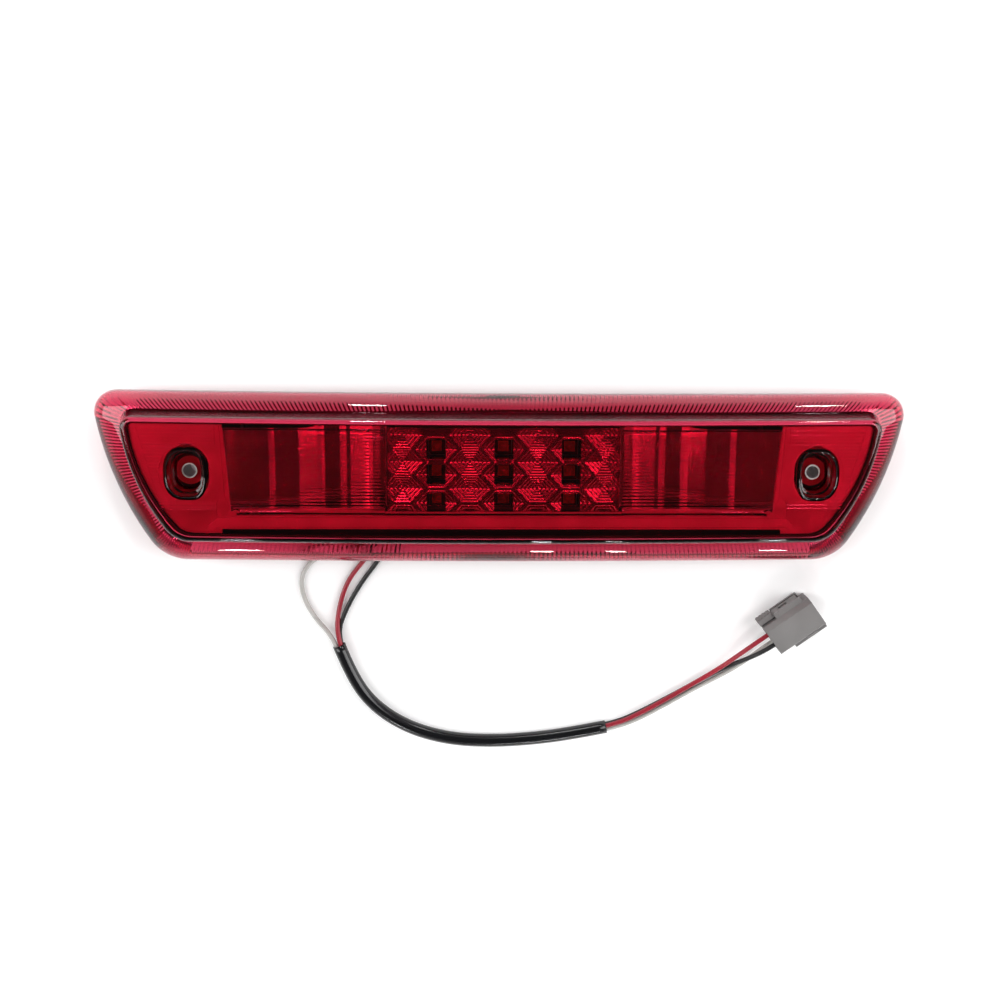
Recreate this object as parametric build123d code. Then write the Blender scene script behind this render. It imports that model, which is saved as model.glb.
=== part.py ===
from build123d import *
import os
from math import cos, pi, radians, sin, tan

# Third brake light, lying on its back: the lens faces +Z, the long way is X, and the wide
# long edge is on the +Y side. The lead leaves on the -Y side. Millimetres throughout.
# The origin is under the middle of the lamp, on the surface that it lies on.

# ---------------------------------------------------------------- driving dimensions
# An outline is a trapezium with curved ends. Its numbers are: half length at the wide
# edge, Y of that edge at mid-length, half length half-way up, half length at the narrow
# edge, Y of that edge at mid-length, and the corner radii at the wide and narrow edges.
SKIRT_EDGE = (185.0, 38.3, 175.6, 154.2, -39.5, 10.0, 21.0)
WINDOW_FOOT = (170.0, 31.1, 163.2, 147.0, -29.2, 6.5, 15.5)
WINDOW_FRONT = (167.8, 28.9, 161.0, 144.8, -27.0, 5.5, 14.0)
BOW = 1.1                   # the long edges' ends stand this much higher in Y than the middle

Z_PANEL = 9.5               # the plane of the body panel that the lamp is screwed to
Z_SKIRT = 11.0              # lower edge of the skirt
Z_FOOT = 24.0               # where the skirt meets the window's wall
Z_FRONT = 35.0              # front of the window
LENS_WALL = 2.0
SKIRT_PROFILE = ((0.0, 1.2), (0.12, 6.3), (0.36, 9.8), (0.66, 12.0))  # share inwards, rise

WELL_X = 139.4              # the two mounting screws
WELL_Y = 4.6
WELL_MOUTH = (7.7, 10.0)    # half width and half height
WELL_FLOOR = (5.9, 7.6)
Z_WELL = 25.0               # top of the well's floor
WELL_FLOOR_T = 2.4
SLEEVE_R = 3.4              # steel compression sleeve
SLEEVE_BORE_R = 2.8

TUB_X = 108.0               # the part of the housing that goes through the body panel
TUB_LOW_Y = -20.0
TUB_HIGH_Y = 22.0
TUB_WALL = 2.4
TRAY_T = 2.5
RAIL_T = 1.3
Z_RAIL = 31.6               # top of the upstanding weld rail
Z_LEDGE = 20.6              # ledge that carries the lens
FLANGE_SHARE = 0.85         # how far in from the skirt's edge to the window the flange ends
RIBS = ((-130, 12), (-118, 20), (118, 20), (130, 12))   # X, and reach to each side of the wells
VENT_AT = (66.0, 4.0)

LED_X = (-30.0, 0.0, 30.0)
LED_Y = (15.0, 3.7, -9.0)
LED_SIDE = 7.6
LED_H = 2.8
LED_WINDOW = 4.8
Z_BOARD = 12.6              # underside of the circuit board
BOARD_T = 1.6
BOARD_X = 49.0
BOARD_Y = (-15.0, 25.0)
POST_X = 44.0
POST_Y = (16.0, -11.0)

REFLECTOR_X = 51.5
REFLECTOR_Y = (-12.6, 24.6)
Z_REFLECTOR = 17.4          # back of the centre reflector
Z_REFLECTOR_TOP = 29.4
CELL_X = 10.0               # half width of one six-sided cup, point to point
CELL_Y = 6.45               # half height of one cup, flat to flat
CUP_DEPTH = 4.4             # from the reflector's front down to a cup's lowest step
CUP_STEPS = 4
SIDE_FACETS = (             # right side reflector's front, (X, Z) from the middle outwards
    (52.4, 16.6), (58.7, 19.8), (60.4, 19.4), (68.4, 22.2), (70.1, 22.2), (71.8, 22.9),
    (73.0, 22.3), (79.8, 22.9), (81.2, 23.5), (83.3, 23.2), (90.8, 25.8), (101.4, 26.2),
    (102.4, 26.8), (104.0, 26.6), (108.5, 26.9), (119.0, 27.3), (123.6, 28.6),
)
SIDE_T = 1.5
BEZEL_Z = (29.0, 30.3)
BEZEL_END = 124.6           # half length of the bezel's opening
BEZEL_LOW_Y = -20.6         # lower edge of the bezel between the ends
BEZEL_SLOT_X = 118.0
BEZEL_SLOT_Y = (-14.5, -13.5)
BEZEL_POST = (112.0, -16.9)

WIRE_R = 1.1
HOLE_X = {"white": -58.4, "red": -55.0, "black": -51.6}
Z_HOLE = 5.0
GROMMET_X = -55.0
SLEEVING_R = 3.1            # the black tube round the three wires
SLEEVING_BORE_R = 2.5
BUNDLE_R = 1.3              # from the tube's middle to a wire's middle

PLUG_AT = (130.0, -78.3)    # middle of the connector's back face
PLUG_TURN = 36.0            # degrees from +X to the way that it points
PLUG_BACK = -1.5            # back and front faces, along the connector
PLUG_FRONT = 24.0
PLUG_W = 15.0
PLUG_H = 12.0
CAVITY_SIDE = 3.0           # cavity middles, from the connector's middle line
CAVITY_Z = (3.4, 8.6)
CAVITY = 3.6
LATCH_PIVOT = (8.0, 9.1)    # along the connector, and out from its middle line
LATCH_PIN_R = 0.7
LATCH_Z = (2.4, 8.2)
HOOD_Z = (8.5, 9.7)         # ledge over the latch's front half

# Centre line of the black tube.
SLEEVING_ROUTE = [
    (-76.9, -83.0, 3.1), (-71.3, -98.0, 3.1), (-61.3, -112.8, 3.1), (-45.0, -124.0, 3.1),
    (-25.5, -130.0, 3.1), (-5.0, -131.4, 3.1), (15.0, -130.3, 3.1), (34.0, -127.8, 3.1),
    (51.3, -124.3, 3.1),
]
# Each wire's own points, before and after the stretch that lies in the tube.
WIRE_START = {
    "white": [(-58.4, 10.0, 11.3), (-58.4, 2.5, 10.3), (-58.4, -4.5, 8.0), (-58.4, -11.5, 5.0),
              (-58.4, -26.0, 5.0),
              (-63.0, -33.0, 3.4), (-74.0, -36.7, 1.7), (-87.6, -40.2, 1.2),
              (-94.8, -49.5, 1.2), (-93.6, -60.5, 1.2), (-88.2, -70.3, 1.5)],
    "red": [(-55.0, 10.0, 11.3), (-55.0, 2.5, 10.3), (-55.0, -4.5, 8.0), (-55.0, -11.5, 5.0),
            (-55.0, -26.0, 5.0),
            (-58.6, -34.4, 2.8), (-65.2, -42.4, 1.2), (-72.6, -51.8, 1.2),
            (-76.9, -64.5, 1.6)],
    "black": [(-51.6, 10.0, 11.3), (-51.6, 2.5, 10.3), (-51.6, -4.5, 8.0), (-51.6, -11.5, 5.0),
              (-51.6, -26.0, 5.0),
              (-53.2, -34.4, 2.8), (-58.6, -42.9, 1.2), (-66.0, -52.5, 1.2),
              (-73.2, -65.0, 1.4)],
}
WIRE_END = {
    "white": [(67.6, -120.9, 1.4), (79.5, -114.4, 1.2), (90.5, -107.8, 1.2),
              (101.5, -101.9, 1.2), (111.5, -96.5, 1.2), (120.3, -90.3, 1.6),
              (127.8, -83.6, 3.2), (135.0, -78.4, 3.4)],
    "red": [(67.0, -117.7, 3.9), (79.5, -110.8, 3.6), (92.0, -103.2, 3.6),
            (104.5, -95.2, 4.4), (113.5, -87.6, 6.6), (121.8, -80.5, 8.4),
            (131.5, -73.5, 8.6)],
    "black": [(67.3, -117.9, 1.3), (79.8, -111.2, 1.2), (91.0, -104.9, 1.2),
              (101.0, -98.9, 1.2), (110.5, -93.9, 2.2), (118.5, -89.7, 5.0),
              (127.1, -84.1, 8.2), (135.0, -78.4, 8.6)],
}
# Where each wire lies in the tube: to the left of the way it runs, and up.
BUNDLE_ANGLE = {"white": 180.0, "red": 60.0, "black": 300.0}
MOUTH_GAP = 5.0             # the wires run straight on for this far past the tube's ends

os.makedirs("parts", exist_ok=True)


def save(shape, name):
    export_step(shape, f"parts/{name}.step")


def box(x, y, z):
    """A box between the given pairs of coordinates."""
    size = [pair[1] - pair[0] for pair in (x, y, z)]
    middle = [(pair[1] + pair[0]) / 2 for pair in (x, y, z)]
    return Pos(*middle) * Box(*size)


def rod(x, y, z, radius):
    """An upright cylinder from z[0] to z[1]."""
    return Pos(x, y, (z[0] + z[1]) / 2) * Cylinder(radius, z[1] - z[0])


def group(pieces):
    """Separate solids in one node."""
    return Compound(children=list(pieces))


# ---------------------------------------------------------------- outlines
def inset(outline, by):
    """The outline, moved inwards on every side."""
    top_x, top_y, mid_x, low_x, low_y, top_r, low_r = outline
    return (top_x - by, top_y - by, mid_x - by, low_x - by, low_y + by,
            max(top_r - by, 1.5), max(low_r - by, 1.5))


def between(outer, inner, share):
    return tuple(a + (b - a) * share for a, b in zip(outer, inner))


def outline_face(outline, z):
    """A flat face with bowed long edges, curved ends and rounded corners, at height z."""
    top_x, top_y, mid_x, low_x, low_y, top_r, low_r = outline
    mid_y = (top_y + low_y) / 2
    high = (top_x, top_y + BOW)
    low = (low_x, low_y + BOW)
    edges = [
        ThreePointArc((-high[0], high[1]), (0, top_y), high),
        ThreePointArc(high, (mid_x, mid_y), low),
        ThreePointArc(low, (0, low_y), (-low[0], low[1])),
        ThreePointArc((-low[0], low[1]), (-mid_x, mid_y), (-high[0], high[1])),
    ]
    face = make_face(edges)
    corners = face.vertices().sort_by(Axis.Y)
    face = fillet(corners[2:], top_r)
    face = fillet([v for v in face.vertices() if abs(v.Y - low[1]) < 1e-3], low_r)
    return Pos(0, 0, z) * face


def stack(levels):
    """A solid through outlines at rising heights. levels are (outline, z)."""
    return loft([outline_face(outline, z) for outline, z in levels], ruled=True)


def slot_face(half_width, half_height, z):
    return Pos(0, 0, z) * RectangleRounded(2 * half_width, 2 * half_height, half_width - 0.3)


def wells(shape):
    """The shape at both screw positions."""
    return [Pos(side * WELL_X, WELL_Y, 0) * shape for side in (-1, 1)]


# ---------------------------------------------------------------- lens
def outer_lens():
    skirt = [(between(SKIRT_EDGE, WINDOW_FOOT, share), Z_SKIRT + rise)
             for share, rise in SKIRT_PROFILE]
    outside = stack(
        [(SKIRT_EDGE, Z_SKIRT)] + skirt + [
            (WINDOW_FOOT, Z_FOOT),
            (WINDOW_FRONT, Z_FRONT - 2.2),
            (inset(WINDOW_FRONT, 0.6), Z_FRONT - 0.7),
            (inset(WINDOW_FRONT, 2.2), Z_FRONT),
        ]
    )
    edge = inset(SKIRT_EDGE, LENS_WALL)
    foot = inset(WINDOW_FOOT, LENS_WALL)
    inside = stack([
        (edge, Z_SKIRT - 1),
        (edge, Z_SKIRT + 0.6),
        (between(edge, foot, 0.12), Z_SKIRT + 4.6),
        (between(edge, foot, 0.36), Z_SKIRT + 7.9),
        (between(edge, foot, 0.66), Z_SKIRT + 10.0),
        (between(edge, foot, 0.80), Z_FOOT - LENS_WALL - 0.5),
        (foot, Z_FOOT - LENS_WALL - 0.4),
        (inset(WINDOW_FRONT, LENS_WALL), Z_FRONT - LENS_WALL),
    ])
    lens = outside - inside
    wall = loft([slot_face(WELL_FLOOR[0] + 1.9, WELL_FLOOR[1] + 1.9, Z_WELL - WELL_FLOOR_T),
                 slot_face(WELL_MOUTH[0] + 1.9, WELL_MOUTH[1] + 1.9, Z_FRONT - 1)])
    recess = loft([slot_face(*WELL_FLOOR, Z_WELL), slot_face(*WELL_MOUTH, Z_FRONT + 0.1)])
    hole = rod(0, 0, (Z_WELL - 5, Z_FRONT), SLEEVE_R)
    for piece in wells(wall):
        lens += piece
    for piece in wells(recess) + wells(hole):
        lens -= piece
    return lens


# ---------------------------------------------------------------- housing
def tub_face(outset, z):
    width = 2 * (TUB_X + outset)
    height = TUB_HIGH_Y - TUB_LOW_Y + 2 * outset
    middle = (TUB_HIGH_Y + TUB_LOW_Y) / 2
    return Pos(0, middle, z) * RectangleRounded(width, height, 6 + outset)


def rail_outline(depth, z_share):
    """The weld rail's outline. depth is the inset from the lens's inner wall."""
    low = inset(WINDOW_FOOT, LENS_WALL + depth)
    high = inset(WINDOW_FRONT, LENS_WALL + depth)
    return between(low, high, z_share)


def rear_housing():
    ledge_low = Z_LEDGE - 2.2
    gap = 0.3
    solid = stack([(rail_outline(gap, 0), Z_PANEL), (rail_outline(gap, 0), ledge_low + 2),
                   (rail_outline(gap, 0.9), Z_RAIL)])
    hollow = stack([(rail_outline(gap + RAIL_T, 0), Z_PANEL + TRAY_T),
                    (rail_outline(gap + RAIL_T, 0), ledge_low + 2),
                    (rail_outline(gap + RAIL_T, 0.9), Z_RAIL + 0.1)])
    ledge = stack([(inset(WINDOW_FOOT, 0.9), ledge_low), (inset(WINDOW_FOOT, 0.9), Z_LEDGE)])
    solid = (solid + ledge) - hollow
    flange = between(SKIRT_EDGE, WINDOW_FOOT, FLANGE_SHARE)
    solid += (stack([(flange, Z_PANEL), (flange, Z_PANEL + TRAY_T)])
              - stack([(inset(WINDOW_FOOT, 6), Z_PANEL - 1), (inset(WINDOW_FOOT, 6), Z_PANEL + 5)]))
    solid += extrude(tub_face(0, 0), Z_PANEL + 0.5)
    solid -= extrude(tub_face(-TUB_WALL, TUB_WALL), Z_PANEL + TRAY_T)
    top = Z_PANEL + TRAY_T
    for x, reach in RIBS:
        solid += box((x - 0.8, x + 0.8), (WELL_Y - reach - 8, WELL_Y + reach), (top - 0.5, 20))
    for x in (-POST_X, POST_X):
        for y in POST_Y:
            solid += rod(x, y, (TUB_WALL - 0.2, Z_BOARD), 3.2)
            solid -= rod(x, y, (5, Z_BOARD + 1), 1.4)
    boss_top = Z_WELL - WELL_FLOOR_T - 0.5
    for piece in wells(rod(0, 0, (Z_PANEL, boss_top), 6.6)):
        solid += piece
    for piece in wells(rod(0, 0, (Z_PANEL - 1, boss_top + 1), SLEEVE_R)):
        solid -= piece
    solid -= Pos(GROMMET_X, TUB_LOW_Y + 1, Z_HOLE) * grommet_face_cut()
    solid -= rod(*VENT_AT, (-1, 4), 3.0)
    return solid


def grommet_face_cut():
    """The obround hole in the tub's lower wall, along Y."""
    face = SlotOverall(12.0, 4.2)
    return Rot(90, 0, 0) * extrude(face, 4, both=True)


# ---------------------------------------------------------------- seals and gasket
def lens_seal():
    low = Z_LEDGE
    high = Z_FOOT - LENS_WALL - 0.6
    ring = stack([(inset(WINDOW_FOOT, 1.0), low), (inset(WINDOW_FOOT, 1.0), high)])
    return ring - stack([(inset(WINDOW_FOOT, 2.2), low - 1), (inset(WINDOW_FOOT, 2.2), high + 1)])


def well_seal():
    low = Z_WELL - WELL_FLOOR_T - 0.5
    high = Z_WELL - WELL_FLOOR_T
    return rod(0, 0, (low, high), 6.4) - rod(0, 0, (low - 1, high + 1), SLEEVE_R)


def gasket():
    thick = 2.0
    low = Z_PANEL - thick
    pad = stack([(inset(WINDOW_FOOT, 3.5), low), (inset(WINDOW_FOOT, 3.5), Z_PANEL)])
    pad -= extrude(tub_face(0.4, low - 1), thick + 2)
    for piece in wells(rod(0, 0, (low - 1, Z_PANEL + 1), 5.5)):
        pad -= piece
    return pad


def compression_sleeve():
    tube = rod(0, 0, (Z_PANEL, Z_WELL), SLEEVE_R)
    tube -= rod(0, 0, (Z_PANEL - 1, Z_WELL + 1), SLEEVE_BORE_R)
    return tube


def vent_cap():
    plug = rod(*VENT_AT, (0.0, 3.6), 3.0) + rod(*VENT_AT, (TUB_WALL, 4.2), 4.2)
    return plug - rod(*VENT_AT, (-1, 3.0), 1.2)


def wire_grommet():
    """Rubber block with a groove that the tub's wall sits in, and three holes."""
    outside = TUB_LOW_Y
    inside = TUB_LOW_Y + TUB_WALL

    def bar(width, height, low_y, high_y):
        flat = Rot(90, 0, 0) * extrude(SlotOverall(width, height), high_y - low_y)
        return Pos(GROMMET_X, high_y, Z_HOLE) * flat

    body = bar(12.0, 4.2, outside - 2.0, inside + 2.0)
    body += bar(13.4, 4.9, outside - 2.0, outside)
    body += bar(13.4, 4.9, inside, inside + 2.0)
    for x in HOLE_X.values():
        body -= Pos(x, outside, Z_HOLE) * Rot(90, 0, 0) * Cylinder(WIRE_R, 20)
    return body


# ---------------------------------------------------------------- light unit
def led_places():
    return [(x, y) for y in LED_Y for x in LED_X]


def circuit_board():
    board = box((-BOARD_X, BOARD_X), BOARD_Y, (Z_BOARD, Z_BOARD + BOARD_T))
    board += box((-63.0, 0), (3.0, 17.0), (Z_BOARD, Z_BOARD + BOARD_T))    # tab for the wires
    for x in (-POST_X, POST_X):
        for y in POST_Y:
            board -= rod(x, y, (Z_BOARD - 1, Z_BOARD + 3), 1.7)
    for x, y in led_places():
        for place in pin_places(x, y):
            board -= rod(*place, (Z_BOARD - 1, Z_BOARD + 3), 0.4)
    return board


def pin_places(x, y):
    return [(x + dx * 2.54, y + dy * 2.54) for dx in (-1, 1) for dy in (-1, 1)]


def led_bodies():
    top = Z_BOARD + BOARD_T
    bodies = []
    for x, y in led_places():
        half = LED_SIDE / 2
        body = box((x - half, x + half), (y - half, y + half), (top, top + LED_H))
        body -= Pos(x - half, y - half, top) * Rot(0, 0, 45) * Box(1.6, 1.6, 20)
        hole = LED_WINDOW / 2
        body -= box((x - hole, x + hole), (y - hole, y + hole), (top + 1.2, top + 5))
        bodies.append(body)
    return group(bodies)


def led_windows():
    low = Z_BOARD + BOARD_T + 1.2
    half = LED_WINDOW / 2
    panes = []
    for x, y in led_places():
        block = box((x - half, x + half), (y - half, y + half), (low, low + 1.3))
        cap = Pos(x, y, low + 1.3 - 2.1) * Sphere(2.9)
        panes.append(block + (cap & box((x - 2, x + 2), (y - 2, y + 2), (low + 1.2, low + 4))))
    return group(panes)


def led_pins():
    pins = []
    for x, y in led_places():
        for place in pin_places(x, y):
            pins.append(rod(*place, (Z_BOARD - 1.0, Z_BOARD + BOARD_T), 0.4))
    return group(pins)


def resistors():
    """Three small-outline resistors on the board's back, one to each column."""
    return group(box((x - 3.2, x + 3.2), (-5.4, -2.2), (Z_BOARD - 0.6, Z_BOARD))
                 for x in (-15.0, 15.0, 41.0))


def blocking_diode():
    return box((-40.0, -35.0), (-3.4, -0.4), (Z_BOARD - 2.2, Z_BOARD))


def solder_joints():
    """One dome of solder where each wire's end meets the board's back."""
    domes = []
    for name, x in HOLE_X.items():
        dome = Pos(x, 11.0, Z_BOARD - 0.6) * Sphere(1.9)
        dome = dome & box((x - 3, x + 3), (10.0, 14), (Z_BOARD - 4, Z_BOARD))
        domes.append(dome)
    return group(domes)


def board_screws():
    top = Z_BOARD + BOARD_T
    screws = []
    for x in (-POST_X, POST_X):
        for y in POST_Y:
            screw = rod(x, y, (top, top + 1.7), 2.7) + rod(x, y, (5.0, top), 1.4)
            screw -= Pos(x, y, top + 1.7) * Box(3.4, 0.7, 1.6)
            screw -= Pos(x, y, top + 1.7) * Box(0.7, 3.4, 1.6)
            screws.append(screw)
    return group(screws)


# ---------------------------------------------------------------- reflectors
def cell_face(half_x, half_y, z):
    """A wide six-sided outline with its points to the left and right."""
    flat = half_x * 0.42
    points = [(half_x, 0), (flat, half_y), (-flat, half_y), (-half_x, 0),
              (-flat, -half_y), (flat, -half_y)]
    return Pos(0, 0, z) * make_face(Polyline(*points, close=True))


def stepped_cup(bottom_x, bottom_y):
    """The hollow of one terraced cup, widening in sloped steps up to the full cell."""
    rise = CUP_DEPTH / CUP_STEPS
    step_x = (CELL_X - bottom_x) / CUP_STEPS
    step_y = (CELL_Y - bottom_y) / CUP_STEPS
    cut = None
    for step in range(CUP_STEPS):
        half_x = bottom_x + step_x * step
        half_y = bottom_y + step_y * step
        z = Z_REFLECTOR_TOP - CUP_DEPTH + rise * step
        band = loft([cell_face(half_x, half_y, z),
                     cell_face(half_x + step_x * 0.8, half_y + step_y * 0.8, z + rise + 0.02)])
        cut = band if cut is None else cut + band
    return cut


def led_reflector():
    block = box((-REFLECTOR_X, REFLECTOR_X), REFLECTOR_Y, (Z_REFLECTOR, Z_REFLECTOR_TOP))
    cup = stepped_cup(5.0, 4.1)
    for x, y in led_places():
        block -= Pos(x, y, 0) * cup
        half = LED_SIDE / 2 + 0.3
        block -= box((x - half, x + half), (y - half, y + half),
                     (Z_REFLECTOR - 1, Z_REFLECTOR_TOP - CUP_DEPTH + 0.1))
    filler = stepped_cup(2.0, 1.3)
    rows = [(LED_Y[0] + LED_Y[1]) / 2, (LED_Y[1] + LED_Y[2]) / 2, LED_Y[0] + CELL_Y,
            LED_Y[2] - CELL_Y]
    for x in (-45.0, -15.0, 15.0, 45.0):
        for y in rows:
            block -= Pos(x, y, 0) * filler
    return block


def side_reflector():
    """Stepped reflector of the right side, the same profile all along Y."""
    back = [(x, z - SIDE_T) for x, z in SIDE_FACETS]
    face = make_face(Polyline(*SIDE_FACETS, *back[::-1], close=True))
    plate = Rot(90, 0, 0) * extrude(face, REFLECTOR_Y[1] - REFLECTOR_Y[0])
    return Pos(0, REFLECTOR_Y[1], 0) * plate


def reflector_bezel():
    """Metallised trim round the reflectors, with the two screw wells let through it."""
    gap = 0.25
    edge = rail_outline(0.3 + RAIL_T + gap, 0.9)
    plate = stack([(edge, BEZEL_Z[0]), (edge, BEZEL_Z[1])])
    foot = BEZEL_END - 4
    hole = make_face(Polyline((-BEZEL_END, 40), (-foot, REFLECTOR_Y[0] - 0.2),
                              (foot, REFLECTOR_Y[0] - 0.2), (BEZEL_END, 40), close=True))
    plate -= Pos(0, 0, BEZEL_Z[0] - 1) * extrude(hole, 4)
    plate -= box((-BEZEL_END, BEZEL_END), (-30, BEZEL_LOW_Y), (BEZEL_Z[0] - 1, BEZEL_Z[1] + 1))
    plate -= box((-BEZEL_SLOT_X, BEZEL_SLOT_X), BEZEL_SLOT_Y, (BEZEL_Z[0] - 1, BEZEL_Z[1] + 1))
    # a collar round each well of the lens
    gap, thick, foot_z = 2.3, 0.8, Z_WELL - 1.6
    for piece in wells(loft([slot_face(WELL_FLOOR[0] + gap + thick, WELL_FLOOR[1] + gap + thick,
                                       foot_z),
                             slot_face(WELL_MOUTH[0] + gap, WELL_MOUTH[1] + gap, BEZEL_Z[0] + 1)])):
        plate += piece
    for piece in wells(loft([slot_face(WELL_FLOOR[0] + gap, WELL_FLOOR[1] + gap, foot_z - 0.1),
                             slot_face(WELL_MOUTH[0] + gap, WELL_MOUTH[1] + gap,
                                       BEZEL_Z[1] + 0.1)])):
        plate -= piece
    for side in (-1, 1):
        plate += rod(side * BEZEL_POST[0], BEZEL_POST[1], (Z_PANEL + TRAY_T, BEZEL_Z[0] + 0.1), 2.0)
    return plate


# ---------------------------------------------------------------- wires
def corner_radius(before, point, after):
    """The largest arc that both runs allow at a corner of a route."""
    arriving = Vector(*point) - Vector(*before)
    leaving = Vector(*after) - Vector(*point)
    turn = radians(arriving.get_angle(leaving))
    return 0.45 * min(arriving.length, leaving.length) / tan(turn / 2)


def tube_along(route, radius, label, bore=0.0):
    """A round tube along straight runs joined by tangent arcs."""
    radii = [corner_radius(*route[i - 1:i + 2]) for i in range(1, len(route) - 1)]
    path = FilletPolyline(*route, radius=radii)
    start = Plane(origin=path @ 0, z_dir=path % 0)
    section = start * Circle(radius)
    solid = sweep(section, path=path)
    if bore:
        solid -= sweep(start * Circle(bore), path=path)
    area = pi * (radius ** 2 - bore ** 2)
    print(f"{label}: length {path.length:.1f}, volume over section x length "
          f"{solid.volume / (area * path.length):.4f}, smallest radius {min(radii):.1f}")
    print("   radii", " ".join(f"{r:.0f}" for r in radii))
    return solid


def beside(route, index, angle):
    """A point of the tube's route, moved to where one of its wires lies."""
    here = Vector(*route[index])
    arriving = here - Vector(*route[index - 1]) if index else Vector(0, 0, 0)
    leaving = Vector(*route[index + 1]) - here if index + 1 < len(route) else Vector(0, 0, 0)
    ways = [way.normalized() for way in (arriving, leaving) if way.length]
    along = (ways[0] + ways[-1]).normalized()
    left = Vector(-along.Y, along.X, 0)
    half_turn = radians(ways[0].get_angle(ways[-1])) / 2
    side = BUNDLE_R * cos(radians(angle)) / cos(half_turn)
    return tuple(here + left * side + Vector(0, 0, BUNDLE_R * sin(radians(angle))))


def wire_route(name):
    """One wire's whole route: its own points, the tube's points moved aside, and its own."""
    first, second = (Vector(*p) for p in SLEEVING_ROUTE[:2])
    last, before = (Vector(*p) for p in SLEEVING_ROUTE[:-3:-1])
    ends = [tuple(first + (first - second).normalized() * MOUTH_GAP),
            tuple(last + (last - before).normalized() * MOUTH_GAP)]
    inner = [ends[0]] + SLEEVING_ROUTE[1:-1] + [ends[1]]
    angle = BUNDLE_ANGLE[name]
    return (WIRE_START[name] + [beside(inner, i, angle) for i in range(len(inner))]
            + WIRE_END[name])


# ---------------------------------------------------------------- connector
def in_plug(shape):
    """From the connector's own frame, X along it from its back face, to where it lies."""
    return Pos(*PLUG_AT, 0) * Rot(0, 0, PLUG_TURN) * shape


def cavities():
    return [(side * CAVITY_SIDE, z) for z in CAVITY_Z for side in (-1, 1)]


def connector_housing():
    half = PLUG_W / 2
    body = box((PLUG_BACK, PLUG_FRONT), (-half, half), (0, PLUG_H))
    body = chamfer(body.edges().filter_by(Axis.X), 0.6)
    # slope from the top down to the hood
    slope = make_face(Polyline((half - 2.3, PLUG_H + 0.1), (half + 1, PLUG_H + 0.1),
                               (half + 1, HOOD_Z[1] - 1), (half, HOOD_Z[1]), close=True))
    body -= Pos(PLUG_BACK - 1, 0, 0) * extrude(Plane.YZ * slope, PLUG_FRONT - PLUG_BACK + 2)
    for y, z in cavities():
        grip = CAVITY / 2
        body -= box((PLUG_BACK - 1, 11.0), (y - grip, y + grip), (z - grip, z + grip))
        body -= box((10, PLUG_FRONT - 1.2), (y - 1.4, y + 1.4), (z - 1.4, z + 1.4))
        body -= box((PLUG_FRONT - 2, PLUG_FRONT + 1), (y - 0.9, y + 0.9), (z - 0.9, z + 0.9))
    # guide rail on the right-hand side
    body += box((6.5, PLUG_FRONT), (-half - 3.0, -half + 0.2), (4.4, 6.2))
    body += box((6.5, PLUG_FRONT), (-half - 3.0, -half - 1.6), (3.0, 7.6))
    # hood, lower ledge and pivot ears on the latch's side
    x, y = LATCH_PIVOT
    body += box((x - 1.8, 21.0), (half - 0.2, y + 1.2), HOOD_Z)
    body += box((x - 1.8, 21.0), (half - 0.2, y + 1.2), (0.8, 2.0))
    body -= rod(x, y, (0.5, HOOD_Z[1] + 1), LATCH_PIN_R + 0.05)
    # pocket for the terminal lock
    body -= box((13.85, 18.15), (-half - 1, -half + 2.3), (7.9, 11.1))
    return in_plug(body)


def connector_latch():
    """Rocking arm: a thumb pad at the back, a hook at the front, and a pin across."""
    x, y = LATCH_PIVOT
    low, high = LATCH_Z
    inner = 8.4
    arm = box((-1.0, 20.0), (inner, inner + 1.5), LATCH_Z)
    arm += box((-2.0, 5.6), (inner, inner + 2.6), LATCH_Z)
    for ridge in (-1.5, 0.3, 2.1, 3.9):
        arm += box((ridge, ridge + 0.8), (inner + 2.4, inner + 3.1), (low + 0.6, high - 0.6))
    arm += box((15.6, 17.8), (inner - 0.5, inner + 0.2), (low + 1.2, high - 1.2))
    arm += box((x - 1.3, x + 1.3), (y - 1.0, y + 1.0), LATCH_Z)
    arm += rod(x, y, (0.8, HOOD_Z[1]), LATCH_PIN_R)
    arm -= box((9.8, 14.6), (inner - 1, inner + 3), (low + 1.8, high - 1.8))
    return in_plug(arm)


def connector_lock():
    """Terminal lock, a small slide in a pocket of the connector's right-hand side."""
    half = PLUG_W / 2
    key = box((14.0, 18.0), (-half - 0.3, -half + 2.1), (8.0, 11.0))
    key += box((13.4, 18.6), (-half - 1.0, -half - 0.3), (8.0, 11.3))
    return in_plug(key)


def terminals():
    """Crimped contacts: a barrel round the wire's end and a square box contact ahead."""
    pieces = []
    for side, z in ((-1, CAVITY_Z[0]), (1, CAVITY_Z[1]), (-1, CAVITY_Z[1])):
        y = side * CAVITY_SIDE
        barrel = Pos(6.7, y, z) * Rot(0, 90, 0) * Cylinder(1.0, 5.2)
        contact = box((9.2, 20.0), (y - 1.1, y + 1.1), (z - 1.1, z + 1.1))
        contact -= box((11.0, 21.0), (y - 0.75, y + 0.75), (z - 0.75, z + 0.75))
        pieces.append(in_plug(barrel + contact))
    return group(pieces)


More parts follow.
